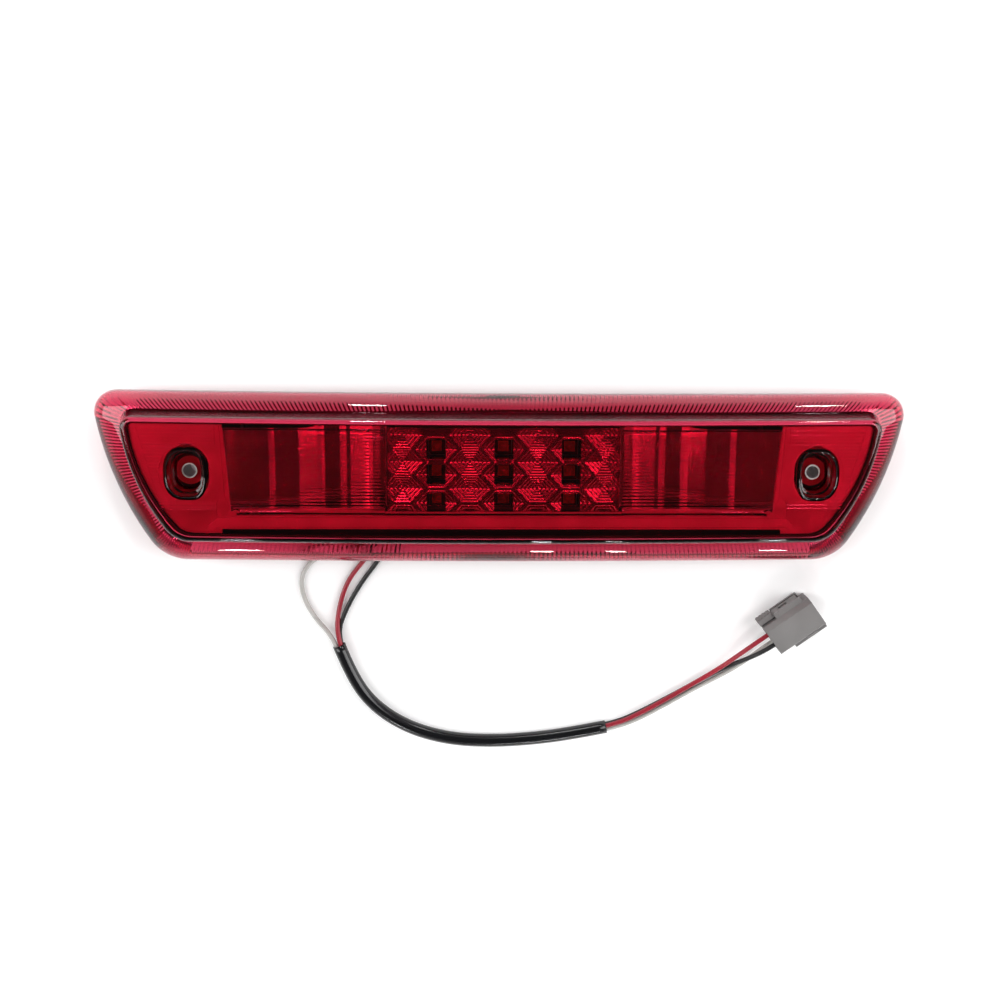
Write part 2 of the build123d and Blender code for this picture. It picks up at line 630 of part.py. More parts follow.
# ---------------------------------------------------------------- write the nodes
save(outer_lens(), "outer_lens")
save(rear_housing(), "rear_housing")
save(lens_seal(), "lens_seal")
save(gasket(), "gasket")
save(vent_cap(), "vent_cap")
save(wire_grommet(), "wire_grommet")
for side_name, seal, sleeve in zip(("left", "right"), wells(well_seal()),
                                   wells(compression_sleeve())):
    save(seal, f"well_seal_{side_name}")
    save(sleeve, f"screw_sleeve_{side_name}")
save(circuit_board(), "circuit_board")
save(led_bodies(), "led_bodies")
save(led_windows(), "led_windows")
save(led_pins(), "led_pins")
save(resistors(), "resistors")
save(blocking_diode(), "blocking_diode")
save(solder_joints(), "solder_joints")
save(board_screws(), "board_screws")
save(led_reflector(), "led_reflector")
right_reflector = side_reflector()
save(right_reflector, "side_reflector_right")
save(mirror(right_reflector, Plane.YZ), "side_reflector_left")
save(reflector_bezel(), "reflector_bezel")
save(tube_along(SLEEVING_ROUTE, SLEEVING_R, "wire_sleeving", SLEEVING_BORE_R), "wire_sleeving")
for colour in HOLE_X:
    save(tube_along(wire_route(colour), WIRE_R, f"{colour}_wire"), f"{colour}_wire")
save(connector_housing(), "connector_housing")
save(connector_latch(), "connector_latch")
save(connector_lock(), "connector_lock")
save(terminals(), "terminals")
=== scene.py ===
from math import atan2, cos, hypot, pi, radians, sin

import bpy
import numpy as np
from mathutils import Matrix, Vector
from mathutils.geometry import delaunay_2d_cdt


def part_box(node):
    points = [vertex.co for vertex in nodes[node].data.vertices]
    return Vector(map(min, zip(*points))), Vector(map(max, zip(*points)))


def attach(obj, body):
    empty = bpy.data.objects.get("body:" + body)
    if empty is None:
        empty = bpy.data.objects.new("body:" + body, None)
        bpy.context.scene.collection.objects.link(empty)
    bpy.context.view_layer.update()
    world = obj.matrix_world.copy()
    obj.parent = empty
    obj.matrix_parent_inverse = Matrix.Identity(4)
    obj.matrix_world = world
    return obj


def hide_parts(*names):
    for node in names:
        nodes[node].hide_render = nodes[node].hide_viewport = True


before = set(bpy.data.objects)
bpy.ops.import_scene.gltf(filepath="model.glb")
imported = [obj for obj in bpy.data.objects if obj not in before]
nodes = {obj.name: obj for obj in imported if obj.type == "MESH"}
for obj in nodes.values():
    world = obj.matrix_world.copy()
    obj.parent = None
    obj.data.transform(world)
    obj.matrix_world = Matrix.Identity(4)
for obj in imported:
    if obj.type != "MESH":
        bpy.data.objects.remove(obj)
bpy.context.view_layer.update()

# ---------------------------------------------------------------- sizes, in metres
# An outline is a trapezium with curved ends: half length at the wide edge, Y of that edge at
# mid-length, half length half-way up, half length at the narrow edge, its Y, corner radii.
SKIRT_EDGE = (0.185, 0.0383, 0.1756, 0.1542, -0.0395, 0.010, 0.021)
WINDOW_FOOT = (0.170, 0.0311, 0.1632, 0.147, -0.0292, 0.0065, 0.0155)
WINDOW_FRONT = (0.1678, 0.0289, 0.161, 0.1448, -0.027, 0.0055, 0.014)
BOW = 0.0011
LENS_WALL = 0.002
LENS_LOW, LENS_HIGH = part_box("outer_lens")
Z_SKIRT = LENS_LOW.z
Z_FRONT = LENS_HIGH.z
Z_FOOT = Z_SKIRT + 0.013
EDGE_ROUND = 0.0024
RING_COUNTS = (352, 24, 152, 56, 280)      # samples on the arcs of half an outline
FLUTE = 4                                  # samples to one flute
FLUTE_DEPTH = 0.00022
RIB_PITCH = 0.0015
RIB_DEPTH = 0.00022
SLEEVE = [(low + high) / 2 for low, high in zip(*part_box("screw_sleeve_right"))]
WELL_X, WELL_Y = SLEEVE[0], SLEEVE[1]
Z_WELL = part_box("screw_sleeve_right")[1].z
PANEL_X = (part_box("led_reflector")[1].x + 0.0009, 0.124)
PANEL_Y = (-0.0114, 0.0249)
STRIP_Y = (-0.0191, -0.0150)
STRIP_X = 0.126                            # half length of the fluted strip below the panels
STRIP_FLUTE_DEPTH = 0.00018
STRIP_SAMPLES = 560
QUARTER_WAVE = (1.0, 0.0, -1.0, 0.0)       # a flute or rib, sampled four times
PANEL_CORNER = 0.006                       # radius at a side panel's outer lower corner
PANEL_TAPER = 0.002 / 0.036                # lean of a side panel's outer edge
RIB_GAP = 0.00015                          # from a ribbed row's end to the flat face
STAIR_ROWS = 6                             # rows to one step of the end zone's border
END_X, END_SLOPE, END_MARGIN = 0.1527, 0.27, 0.0025
END_START = 0.0022                         # from the side panel to the end zone
WELL_CLEAR = (0.0102, 0.0128)              # half width and half height kept clear of ribs
WELL_MARGIN = 0.0012
SHORTEST_ROW = 0.0015
END_RIB_SHARE = 0.8


# ---------------------------------------------------------------- small mesh helpers
def add_mesh(name, verts, faces, material, body="lamp", smooth=30):
    mesh = bpy.data.meshes.new(name)
    mesh.from_pydata([tuple(v) for v in verts], [], faces)
    mesh.validate()
    mesh.update()
    mesh.shade_smooth()
    mesh.set_sharp_from_angle(angle=radians(smooth))
    piece = bpy.data.objects.new(name, mesh)
    bpy.context.scene.collection.objects.link(piece)
    mesh.materials.append(material)
    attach(piece, body)
    return piece


def inset(outline, by):
    top_x, top_y, mid_x, low_x, low_y, top_r, low_r = outline
    return (top_x - by, top_y - by, mid_x - by, low_x - by, low_y + by,
            max(top_r - by, 0.0015), max(low_r - by, 0.0015))


def between(outer, inner, share):
    return tuple(a + (b - a) * share for a, b in zip(outer, inner))


# ---------------------------------------------------------------- outlines by formula
def circle_through(a, b, c):
    (ax, ay), (bx, by), (cx, cy) = a, b, c
    d = 2 * (ax * (by - cy) + bx * (cy - ay) + cx * (ay - by))
    aa, bb, cc = ax * ax + ay * ay, bx * bx + by * by, cx * cx + cy * cy
    x = (aa * (by - cy) + bb * (cy - ay) + cc * (ay - by)) / d
    y = (aa * (cx - bx) + bb * (ax - cx) + cc * (bx - ax)) / d
    return (x, y), hypot(ax - x, ay - y)


def meeting(c1, r1, c2, r2, near):
    """Where two circles meet, on the side of the point near."""
    dx, dy = c2[0] - c1[0], c2[1] - c1[1]
    d = hypot(dx, dy)
    along = (r1 * r1 - r2 * r2 + d * d) / (2 * d)
    across = (r1 * r1 - along * along) ** 0.5
    x, y = c1[0] + dx * along / d, c1[1] + dy * along / d
    options = [(x + s * dy * across / d, y - s * dx * across / d) for s in (1, -1)]
    return min(options, key=lambda p: hypot(p[0] - near[0], p[1] - near[1]))


def on_circle(centre, radius, towards):
    dx, dy = towards[0] - centre[0], towards[1] - centre[1]
    d = hypot(dx, dy)
    return centre[0] + dx * radius / d, centre[1] + dy * radius / d


def half_outline(outline):
    """The right half as five arcs from the wide edge's middle: (centre, start, end)."""
    top_x, top_y, mid_x, low_x, low_y, top_r, low_r = outline
    high, low = (top_x, top_y + BOW), (low_x, low_y + BOW)
    top_c, top_big = circle_through((-top_x, high[1]), (0, top_y), high)
    side_c, side_big = circle_through(high, (mid_x, (top_y + low_y) / 2), low)
    low_c, low_big = circle_through((-low_x, low[1]), (0, low_y), low)
    upper = meeting(top_c, top_big + top_r, side_c, side_big - top_r, high)
    lower = meeting(side_c, side_big - low_r, low_c, low_big - low_r, low)
    t1 = on_circle(top_c, top_big, upper)
    t2 = on_circle(side_c, side_big, upper)
    t3 = on_circle(side_c, side_big, lower)
    t4 = on_circle(low_c, low_big, lower)
    return [(top_c, (0, top_y), t1), (upper, t1, t2), (side_c, t2, t3),
            (lower, t3, t4), (low_c, t4, (0, low_y))]


def arc_points(centre, start, end, count):
    a = atan2(start[1] - centre[1], start[0] - centre[0])
    b = atan2(end[1] - centre[1], end[0] - centre[0])
    turn = (b - a + pi) % (2 * pi) - pi
    radius = hypot(start[0] - centre[0], start[1] - centre[1])
    t = a + turn * np.arange(count) / count
    return np.stack([centre[0] + radius * np.cos(t), centre[1] + radius * np.sin(t)], 1)


def ring(outline, counts=RING_COUNTS):
    """The whole outline, clockwise from the wide edge's middle."""
    arcs = half_outline(outline)
    right = np.concatenate([arc_points(*arc, n) for arc, n in zip(arcs, counts)])
    foot = np.array([[0, outline[4]]])
    left = right[1:][::-1] * (-1, 1)
    return np.concatenate([right, foot, left])


def level(outline, z):
    flat = ring(outline)
    return np.column_stack([flat, np.full(len(flat), z)])


def inside(points, loop):
    """Which points lie in a closed loop."""
    x, y = points[:, 0], points[:, 1]
    hit = np.zeros(len(points), bool)
    for (x1, y1), (x2, y2) in zip(loop, np.roll(loop, -1, 0)):
        if y1 == y2:
            continue
        crosses = (y1 > y) != (y2 > y)
        hit ^= crosses & (x < (x2 - x1) * (y - y1) / (y2 - y1) + x1)
    return hit


# ---------------------------------------------------------------- material helpers
class Nodes:
    """A material with a Principled shader, built up by short calls."""

    def __init__(self, name):
        self.material = bpy.data.materials.new(name)
        self.material.use_nodes = True
        self.tree = self.material.node_tree
        self.shader = self.tree.nodes["Principled BSDF"]
        self.output = self.tree.nodes["Material Output"]

    def add(self, kind, **inputs):
        node = self.tree.nodes.new(kind)
        for name, value in inputs.items():
            socket = node.inputs[name.replace("_", " ")]
            if isinstance(value, bpy.types.NodeSocket):
                self.tree.links.new(value, socket)
            else:
                socket.default_value = value
        return node

    def link(self, source, target):
        self.tree.links.new(source, target)

    def set(self, **values):
        for name, value in values.items():
            self.shader.inputs[name.replace("_", " ")].default_value = value
        return self

    def place(self, scale=(1, 1, 1)):
        coordinates = self.add("ShaderNodeTexCoord").outputs["Object"]
        return self.add("ShaderNodeMapping", Vector=coordinates, Scale=scale).outputs[0]

    def noise(self, scale, detail=3.0, stretch=(1, 1, 1)):
        return self.add("ShaderNodeTexNoise", Vector=self.place(stretch), Scale=scale,
                        Detail=detail).outputs["Fac"]

    def ramp(self, fac, stops):
        node = self.add("ShaderNodeValToRGB", Fac=fac)
        elements = node.color_ramp.elements
        while len(elements) < len(stops):
            elements.new(0.5)
        for element, (at, colour) in zip(elements, stops):
            element.position = at
            element.color = colour if len(colour) == 4 else (*colour, 1)
        return node.outputs["Color"]

    def spread(self, fac, low, high):
        node = self.add("ShaderNodeMapRange", Value=fac)
        node.inputs["To Min"].default_value = low
        node.inputs["To Max"].default_value = high
        return node.outputs["Result"]

    def bump(self, height, strength, distance):
        node = self.add("ShaderNodeBump", Height=height, Strength=strength, Distance=distance)
        self.link(node.outputs["Normal"], self.shader.inputs["Normal"])
        return self


def plastic(name, dark, light, rough, grain=900.0, bump=0.25, coat=0.0, ior=1.5):
    """Moulded plastic: slight mottling, uneven gloss and a fine grain."""
    m = Nodes(name)
    m.link(m.ramp(m.noise(38.0), [(0.3, dark), (0.7, light)]), m.shader.inputs["Base Color"])
    m.link(m.spread(m.noise(120.0), rough[0], rough[1]), m.shader.inputs["Roughness"])
    m.bump(m.noise(grain, 2.0), bump, 0.0001)
    m.set(Coat_Weight=coat, IOR=ior)
    return m.material


def metal(name, dark, light, rough, stretch=(1, 1, 1), grain=400.0, bump=0.1):
    m = Nodes(name)
    m.link(m.ramp(m.noise(60.0, 4.0), [(0.35, dark), (0.65, light)]),
           m.shader.inputs["Base Color"])
    m.link(m.spread(m.noise(grain, 3.0, stretch), rough[0], rough[1]),
           m.shader.inputs["Roughness"])
    m.bump(m.noise(grain, 2.0, stretch), bump, 0.00005)
    m.set(Metallic=1.0)
    return m.material


def red_acrylic(name, tint, shadow_tint, density):
    """Clear red moulding: refracts for the eye, lets lamps through, and darkens with depth."""
    m = Nodes(name)
    m.set(Transmission_Weight=1.0, IOR=1.49, Roughness=0.0)
    m.link(m.ramp(m.noise(14.0), [(0.25, tint[0]), (0.75, tint[1])]),
           m.shader.inputs["Base Color"])
    m.bump(m.noise(55.0, 1.0), 0.12, 0.0002)
    path = m.add("ShaderNodeLightPath").outputs["Is Shadow Ray"]
    clear = m.add("ShaderNodeBsdfTransparent", Color=(*shadow_tint, 1)).outputs[0]
    mix = m.add("ShaderNodeMixShader", Fac=path)
    m.link(m.shader.outputs[0], mix.inputs[1])
    m.link(clear, mix.inputs[2])
    m.link(mix.outputs[0], m.output.inputs["Surface"])
    depth = m.add("ShaderNodeVolumeAbsorption", Color=(0.62, 0.05, 0.30, 1), Density=density)
    m.link(depth.outputs[0], m.output.inputs["Volume"])
    return m.material


LENS_RED = red_acrylic("red_acrylic", ((0.84, 0.10, 0.19), (0.89, 0.13, 0.22)),
                       (0.84, 0.16, 0.30), 260.0)
SILICONE = plastic("silicone_seal", (0.55, 0.54, 0.52), (0.68, 0.67, 0.65), (0.4, 0.6))
CHROME = metal("metallised_plastic", (0.82, 0.81, 0.80), (0.92, 0.91, 0.90), (0.12, 0.20))
FACETS = metal("stepped_metallised", (0.78, 0.77, 0.76), (0.88, 0.87, 0.86), (0.15, 0.22))
SATIN = metal("satin_metallised", (0.72, 0.71, 0.70), (0.84, 0.83, 0.82), (0.38, 0.5))
BLACK = plastic("black_housing", (0.010, 0.010, 0.011), (0.022, 0.021, 0.022), (0.32, 0.5))
RUBBER = plastic("black_rubber", (0.012, 0.012, 0.012), (0.026, 0.025, 0.024), (0.55, 0.8),
                 grain=1400.0, bump=0.4)
FOAM = plastic("gasket_foam", (0.018, 0.018, 0.019), (0.045, 0.044, 0.043), (0.8, 0.95),
               grain=1500.0, bump=0.9)
STEEL = metal("zinc_plated_steel", (0.42, 0.42, 0.43), (0.66, 0.65, 0.62), (0.22, 0.42),
              stretch=(1, 1, 6))
TIN = metal("tinned_metal", (0.55, 0.55, 0.54), (0.75, 0.74, 0.71), (0.2, 0.4))
BOARD = plastic("board_laminate", (0.16, 0.30, 0.18), (0.20, 0.36, 0.22), (0.3, 0.45))
LED_BODY = plastic("led_epoxy", (0.05, 0.006, 0.010), (0.09, 0.010, 0.014), (0.18, 0.3),
                   coat=0.3)
LED_WINDOW = plastic("led_window", (0.55, 0.05, 0.03), (0.85, 0.16, 0.08), (0.12, 0.25),
                     coat=0.5)
CHIP = plastic("moulded_chip", (0.015, 0.015, 0.016), (0.03, 0.03, 0.03), (0.35, 0.5))
SLEEVING = plastic("glossy_pvc_tube", (0.003, 0.003, 0.004), (0.007, 0.007, 0.008),
                   (0.16, 0.28), grain=500.0, bump=0.12)
WIRE_RED = plastic("red_pvc", (0.23, 0.006, 0.018), (0.31, 0.010, 0.024), (0.32, 0.46),
                   grain=800.0, bump=0.2)
WIRE_BLACK = plastic("black_pvc", (0.003, 0.003, 0.004), (0.008, 0.008, 0.008), (0.35, 0.5),
                     grain=800.0, bump=0.2)
WIRE_WHITE = plastic("white_pvc", (0.40, 0.39, 0.37), (0.50, 0.49, 0.47), (0.28, 0.42),
                     grain=800.0, bump=0.2)
GREY = plastic("grey_nylon", (0.140, 0.134, 0.132), (0.190, 0.183, 0.180), (0.42, 0.58),
               grain=1100.0, bump=0.35)
LOCK_GREY = plastic("lock_nylon", (0.16, 0.152, 0.150), (0.21, 0.203, 0.200), (0.4, 0.55),
                    grain=1100.0, bump=0.35)

CAD_LOOKS = {
    "rear_housing": BLACK, "lens_seal": RUBBER, "gasket": FOAM, "vent_cap": RUBBER,
    "wire_grommet": RUBBER, "well_seal_left": SILICONE, "well_seal_right": SILICONE,
    "screw_sleeve_left": STEEL, "screw_sleeve_right": STEEL, "circuit_board": BOARD,
    "led_bodies": LED_BODY, "led_windows": LED_WINDOW, "led_pins": TIN, "resistors": CHIP,
    "blocking_diode": CHIP, "solder_joints": TIN, "board_screws": STEEL,
    "led_reflector": CHROME, "reflector_bezel": SATIN, "connector_housing": GREY,
    "connector_latch": GREY, "connector_lock": LOCK_GREY, "terminals": TIN,
}


def dress_cad_nodes():
    for name, material in CAD_LOOKS.items():
        mesh = nodes[name].data
        mesh.materials.clear()
        mesh.materials.append(material)


# ---------------------------------------------------------------- lens
def oval(half_x, half_y, side, count=64):
    """The well's outline: round on the side towards the lamp's end, squarer inwards."""
    t = np.arange(count) * 2 * pi / count
    c, s = np.cos(t) * side, np.sin(t)
    power = np.where(np.cos(t) > 0, 0.86, 0.52)
    x = np.sign(c) * np.abs(c) ** power * half_x
    y = np.sign(s) * np.abs(s) ** 0.78 * half_y
    return np.stack([x + side * WELL_X, y + WELL_Y], 1)


def round_hole(radius, side, count=64):
    t = np.arange(count) * 2 * pi / count
    return np.stack([np.cos(t) * side * radius + side * WELL_X, np.sin(t) * radius + WELL_Y], 1)


def well_levels(side):
    """Loops down into the screw well and back up round its outer wall."""
    def at(flat, z):
        return np.column_stack([flat, np.full(len(flat), z)])

    lip = Z_FRONT
    return [
        at(oval(0.0089, 0.0112, side), lip),
        at(oval(0.0085, 0.0108, side), lip),
        at(oval(0.0080, 0.0103, side), lip - 0.0003),
        at(oval(0.0077, 0.0100, side), lip - 0.0010),
        at(oval(0.0072, 0.0094, side), lip - 0.0040),
        at(oval(0.0064, 0.0085, side), lip - 0.0043),
        at(oval(0.0059, 0.0078, side), Z_WELL + 0.0006),
        at(oval(0.0054, 0.0072, side), Z_WELL),
        at(round_hole(0.0034, side), Z_WELL),
        at(round_hole(0.0034, side), Z_WELL - 0.0023),
        at(oval(0.0076, 0.0094, side), Z_WELL - 0.0023),
        at(oval(0.0095, 0.0118, side), Z_FRONT - LENS_WALL),
    ]


def skirt_levels(edge, foot, low, rise, count, flutes):
    """Rings up the skirt's quarter-round profile. flutes is their depth."""
    rings = []
    for step in range(count + 1):
        angle = pi / 2 * step / count
        here = level(between(edge, foot, 1 - cos(angle)), low + rise * sin(angle))
        if flutes and 0 < step < count:
            index = np.arange(len(here)) % FLUTE
            wave = np.array(QUARTER_WAVE)[index] * flutes * min(1, step / 3)
            here[:, 2] += wave * sin(angle)
            outward = here[:, :2] / np.hypot(here[:, 0], here[:, 1])[:, None]
            here[:, :2] += outward * (wave * cos(angle))[:, None]
        rings.append(here)
    return rings


def rib_rows():
    """Rows of the ribbed side panels and end zones: (x list, y, ribbed) for one half."""
    rows = []
    step = RIB_PITCH / 4
    count = int((PANEL_Y[1] - PANEL_Y[0]) / step)
    for index in range(count + 1):
        y = PANEL_Y[0] + index * step
        wave = QUARTER_WAVE[index % 4] * RIB_DEPTH
        rise = min(y - PANEL_Y[0], PANEL_CORNER)
        cut = PANEL_CORNER - (PANEL_CORNER ** 2 - (PANEL_CORNER - rise) ** 2) ** 0.5
        end = PANEL_X[1] - PANEL_TAPER * (PANEL_Y[1] - y) - cut
        rows.append((PANEL_X[0], end, y, wave))
        # end zone, with a stepped outer border
        stair = int(index / STAIR_ROWS) * STAIR_ROWS * step
        far = END_X + END_SLOPE * stair - END_MARGIN
        near = PANEL_X[1] + END_START
        dy = abs(y - WELL_Y) / WELL_CLEAR[1]
        if dy < 1:
            near = WELL_X + WELL_CLEAR[0] * (1 - dy ** 2) ** 0.5 + WELL_MARGIN
        if far - near > SHORTEST_ROW:
            rows.append((near, far, y, wave * END_RIB_SHARE))
    return rows


def cap_points():
    """Points and constraint edges of the window's inner face: rows, ribs and flutes."""
    points, heights, edges = [], [], []

    def line(ends, waves):
        first = len(points)
        for (x, y), wave in zip(ends, waves):
            points.append((x, y))
            heights.append(wave)
        for k in range(len(ends) - 1):
            edges.append((first + k, first + k + 1))

    for side in (-1, 1):
        for x0, x1, y, wave in rib_rows():
            ends = [(side * x, y) for x in (x0 - RIB_GAP, x0, x1, x1 + RIB_GAP)]
            line(ends, (0, wave, wave, 0))
    y0, y1 = STRIP_Y
    for index in range(STRIP_SAMPLES + 1):
        x = STRIP_X * (2 * index / STRIP_SAMPLES - 1)
        wave = QUARTER_WAVE[index % 4] * STRIP_FLUTE_DEPTH
        line([(x, y) for y in (y0 - RIB_GAP, y0, y1, y1 + RIB_GAP)], (0, wave, wave, 0))
    return points, heights, edges


def fill_cap(outer, holes, points=(), edges=()):
    """Triangles of a flat face with holes. Returns index triples into outer + holes + points."""
    loops = [outer] + holes
    flat = np.concatenate([loop[:, :2] for loop in loops]
                          + ([np.array(points)] if len(points) else []))
    constraints, base = [], 0
    for loop in loops:
        n = len(loop)
        constraints += [(base + k, base + (k + 1) % n) for k in range(n)]
        base += n
    constraints += [(base + a, base + b) for a, b in edges]
    scaled = [Vector((x * 1000, y * 1000)) for x, y in flat]
    _, _, faces, origins, _, _ = delaunay_2d_cdt(scaled, constraints, [], 0, 1e-7)
    source = [min(o) if len(o) else -1 for o in origins]
    triples = np.array([[source[v] for v in face] for face in faces if len(face) == 3])
    triples = triples[(triples >= 0).all(1)]
    middles = flat[triples].mean(1)
    keep = inside(middles, outer[:, :2])
    for hole in holes:
        keep &= ~inside(middles, hole[:, :2])
    return [tuple(int(v) for v in t) for t in triples[keep]]


def build_lens():
    foot_in = inset(WINDOW_FOOT, LENS_WALL)
    edge_in = inset(SKIRT_EDGE, LENS_WALL)
    outer = [level(SKIRT_EDGE, Z_SKIRT)]
    outer += skirt_levels(SKIRT_EDGE, WINDOW_FOOT, Z_SKIRT + 0.0012, Z_FOOT - Z_SKIRT - 0.0012,
                          14, 0)
    outer.append(level(WINDOW_FRONT, Z_FRONT - EDGE_ROUND))
    for step in range(1, 7):
        angle = pi / 2 * step / 6
        outer.append(level(inset(WINDOW_FRONT, EDGE_ROUND * (1 - cos(angle))),
                           Z_FRONT - EDGE_ROUND * (1 - sin(angle))))
    outer.append(level(inset(WINDOW_FRONT, EDGE_ROUND + 0.0008), Z_FRONT))
    inner = [level(edge_in, Z_SKIRT)]
    inner += skirt_levels(edge_in, foot_in, Z_SKIRT + 0.0006, 0.010, 14, FLUTE_DEPTH)
    inner.append(level(inset(WINDOW_FRONT, LENS_WALL), Z_FRONT - LENS_WALL - 0.0006))
    inner.append(level(inset(WINDOW_FRONT, LENS_WALL + 0.0006), Z_FRONT - LENS_WALL))
    inner.append(level(inset(WINDOW_FRONT, LENS_WALL + 0.0010), Z_FRONT - LENS_WALL))

    verts, faces = [], []

    def strips(levels, closed_ring=True, flip=False):
        """Quads between rings of equal length. Returns the rings' first indices."""
        starts = []
        for loop in levels:
            starts.append(len(verts))
            verts.extend(map(tuple, loop))
        n = len(levels[0])
        for a, b in zip(starts, starts[1:]):
            for k in range(n):
                m = (k + 1) % n
                quad = (a + k, b + k, b + m, a + m)
                faces.append(quad[::-1] if flip else quad)
        return starts

    out_rings = strips(outer)
    in_rings = strips(inner, flip=True)
    n = len(outer[0])
    for k in range(n):
        m = (k + 1) % n
        faces.append((out_rings[0] + k, out_rings[0] + m, in_rings[0] + m, in_rings[0] + k))
    wells = []
    for side in (-1, 1):
        levels = well_levels(side)
        if side > 0:
            levels = [loop[::-1] for loop in levels]
        wells.append((levels, strips(levels)))

    def cap(ring_start, loop, hole_level, extra, face_down):
        points, heights, edges = extra
        holes = [levels[hole_level] for levels, _ in wells]
        index = list(range(ring_start, ring_start + len(loop)))
        for levels, starts in wells:
            first = starts[hole_level]
            index += range(first, first + len(levels[0]))
        base = len(verts)
        for (x, y), height in zip(points, heights):
            verts.append((x, y, loop[0][2] - height))
        index += range(base, len(verts))
        for t in fill_cap(loop, holes, points, edges):
            a, b, c = (np.array(verts[index[v]]) for v in t)
            up = (b[0] - a[0]) * (c[1] - a[1]) - (b[1] - a[1]) * (c[0] - a[0]) > 0
            order = t if up != face_down else t[::-1]
            faces.append(tuple(index[v] for v in order))

    cap(out_rings[-1], outer[-1], 0, ((), (), ()), False)
    cap(in_rings[-1], inner[-1], -1, cap_points(), True)
    lens = add_mesh("lens", verts, faces, LENS_RED, smooth=40)
    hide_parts("outer_lens")
    return lens


# ---------------------------------------------------------------- side reflectors
SIDE_PROFILE = [
    (0.0524, 0.0166), (0.0587, 0.0198), (0.0604, 0.0194), (0.0684, 0.0222), (0.0701, 0.0222),
    (0.0718, 0.0229), (0.0730, 0.0223), (0.0798, 0.0229), (0.0812, 0.0235), (0.0833, 0.0232),
    (0.0908, 0.0258), (0.1014, 0.0262), (0.1024, 0.0268), (0.1040, 0.0266), (0.1085, 0.0269),
    (0.1190, 0.0273), (0.1236, 0.0286),
]


def build_side_reflector(side, name, node):
    """A plate with upright facets of different lean, across the ribbed panel."""
    low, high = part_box(node)
    thick = 0.0015
    rows = 24
    profile = SIDE_PROFILE + [(x, z - thick) for x, z in SIDE_PROFILE[::-1]]
    verts, faces = [], []
    for row in range(rows + 1):
        share = row / rows
        y = low.y + (high.y - low.y) * share
        sag = 0.0006 * sin(pi * share)
        verts += [(side * x, y, z - sag) for x, z in profile]
    n = len(profile)
    for row in range(rows):
        for k in range(n):
            m = (k + 1) % n
            quad = (row * n + k, row * n + m, (row + 1) * n + m, (row + 1) * n + k)
            faces.append(quad if side > 0 else quad[::-1])
    caps = [tuple(range(n)), tuple(range(rows * n, rows * n + n))]
    faces.append(caps[0][::-1] if side > 0 else caps[0])
    faces.append(caps[1] if side > 0 else caps[1][::-1])
    plate = add_mesh(name, verts, faces, FACETS, smooth=8)
    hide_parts(node)


# ---------------------------------------------------------------- LED reflector
LED_X = (-0.030, 0.0, 0.030)
LED_Y = (0.0150, 0.0037, -0.0090)
CELL = (0.0100, 0.00645)        # half width, point to point, and half height of a cup
OPENING = 0.0041                # half side of the hole round each LED
CUP_FALL = 0.0026               # depth of a cup's slope from its rim to its middle
STEP = 0.18                     # share of a cup's size from one moulded line to the next
LINE_HEIGHT = 0.00026
GRID = 0.00029


def build_led_reflector():
    """Six-sided cups with raised lines in them, one round each LED and more between them."""
    low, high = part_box("led_reflector")
    xs = np.linspace(low.x, high.x, round((high.x - low.x) / GRID) + 1)
    ys = np.linspace(low.y, high.y, round((high.y - low.y) / GRID) + 1)
    x, y = np.meshgrid(xs, ys)
    rows = ((LED_Y[0] + LED_Y[1]) / 2, (LED_Y[1] + LED_Y[2]) / 2, LED_Y[0] + CELL[1],
            LED_Y[2] - CELL[1])
    cups = [(cx, cy) for cx in LED_X for cy in LED_Y]
    cups += [(cx, cy) for cx in (-0.045, -0.015, 0.015, 0.045) for cy in rows]
    share = np.full(x.shape, 9.0)
    for cx, cy in cups:
        across, up = np.abs(x - cx) / CELL[0], np.abs(y - cy) / CELL[1]
        share = np.minimum(share, np.maximum(up, across + 0.58 * up))
    share = np.minimum(share, 1.0)
    from_line = np.abs((share / STEP + 0.5) % 1.0 - 0.5) * 2
    z = (high.z - LINE_HEIGHT - CUP_FALL * (1 - share)
         + LINE_HEIGHT * np.clip(1 - (from_line / 0.42) ** 2, 0, 1))
    hole = np.zeros(x.shape, bool)
    for cx in LED_X:
        for cy in LED_Y:
            hole |= (np.abs(x - cx) < OPENING) & (np.abs(y - cy) < OPENING)
    z[hole] = low.z + 0.0006
    count = len(xs)
    verts = list(zip(x.ravel(), y.ravel(), z.ravel()))
    faces = []
    for row in range(len(ys) - 1):
        for column in range(count - 1):
            a = row * count + column
            if hole[row, column] and hole[row + 1, column + 1] and hole[row, column + 1]:
                continue
            faces.append((a, a + 1, a + count + 1, a + count))
    # walls from the shell's edge down to the board
    last = len(ys) - 1
    rim = (list(range(count)) + [row * count + count - 1 for row in range(1, last + 1)]
           + [last * count + column for column in range(count - 2, -1, -1)]
           + [row * count for row in range(last - 1, 0, -1)])
    foot = len(verts)
    verts += [(verts[k][0], verts[k][1], low.z) for k in rim]
    for k in range(len(rim)):
        m = (k + 1) % len(rim)
        faces.append((foot + k, foot + m, rim[m], rim[k]))
    shell = add_mesh("led_cups", verts, faces, CHROME, smooth=50)
    edge = shell.modifiers.new("wall", "SOLIDIFY")
    edge.thickness = 0.0005
    edge.offset = -1
    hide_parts("led_reflector")


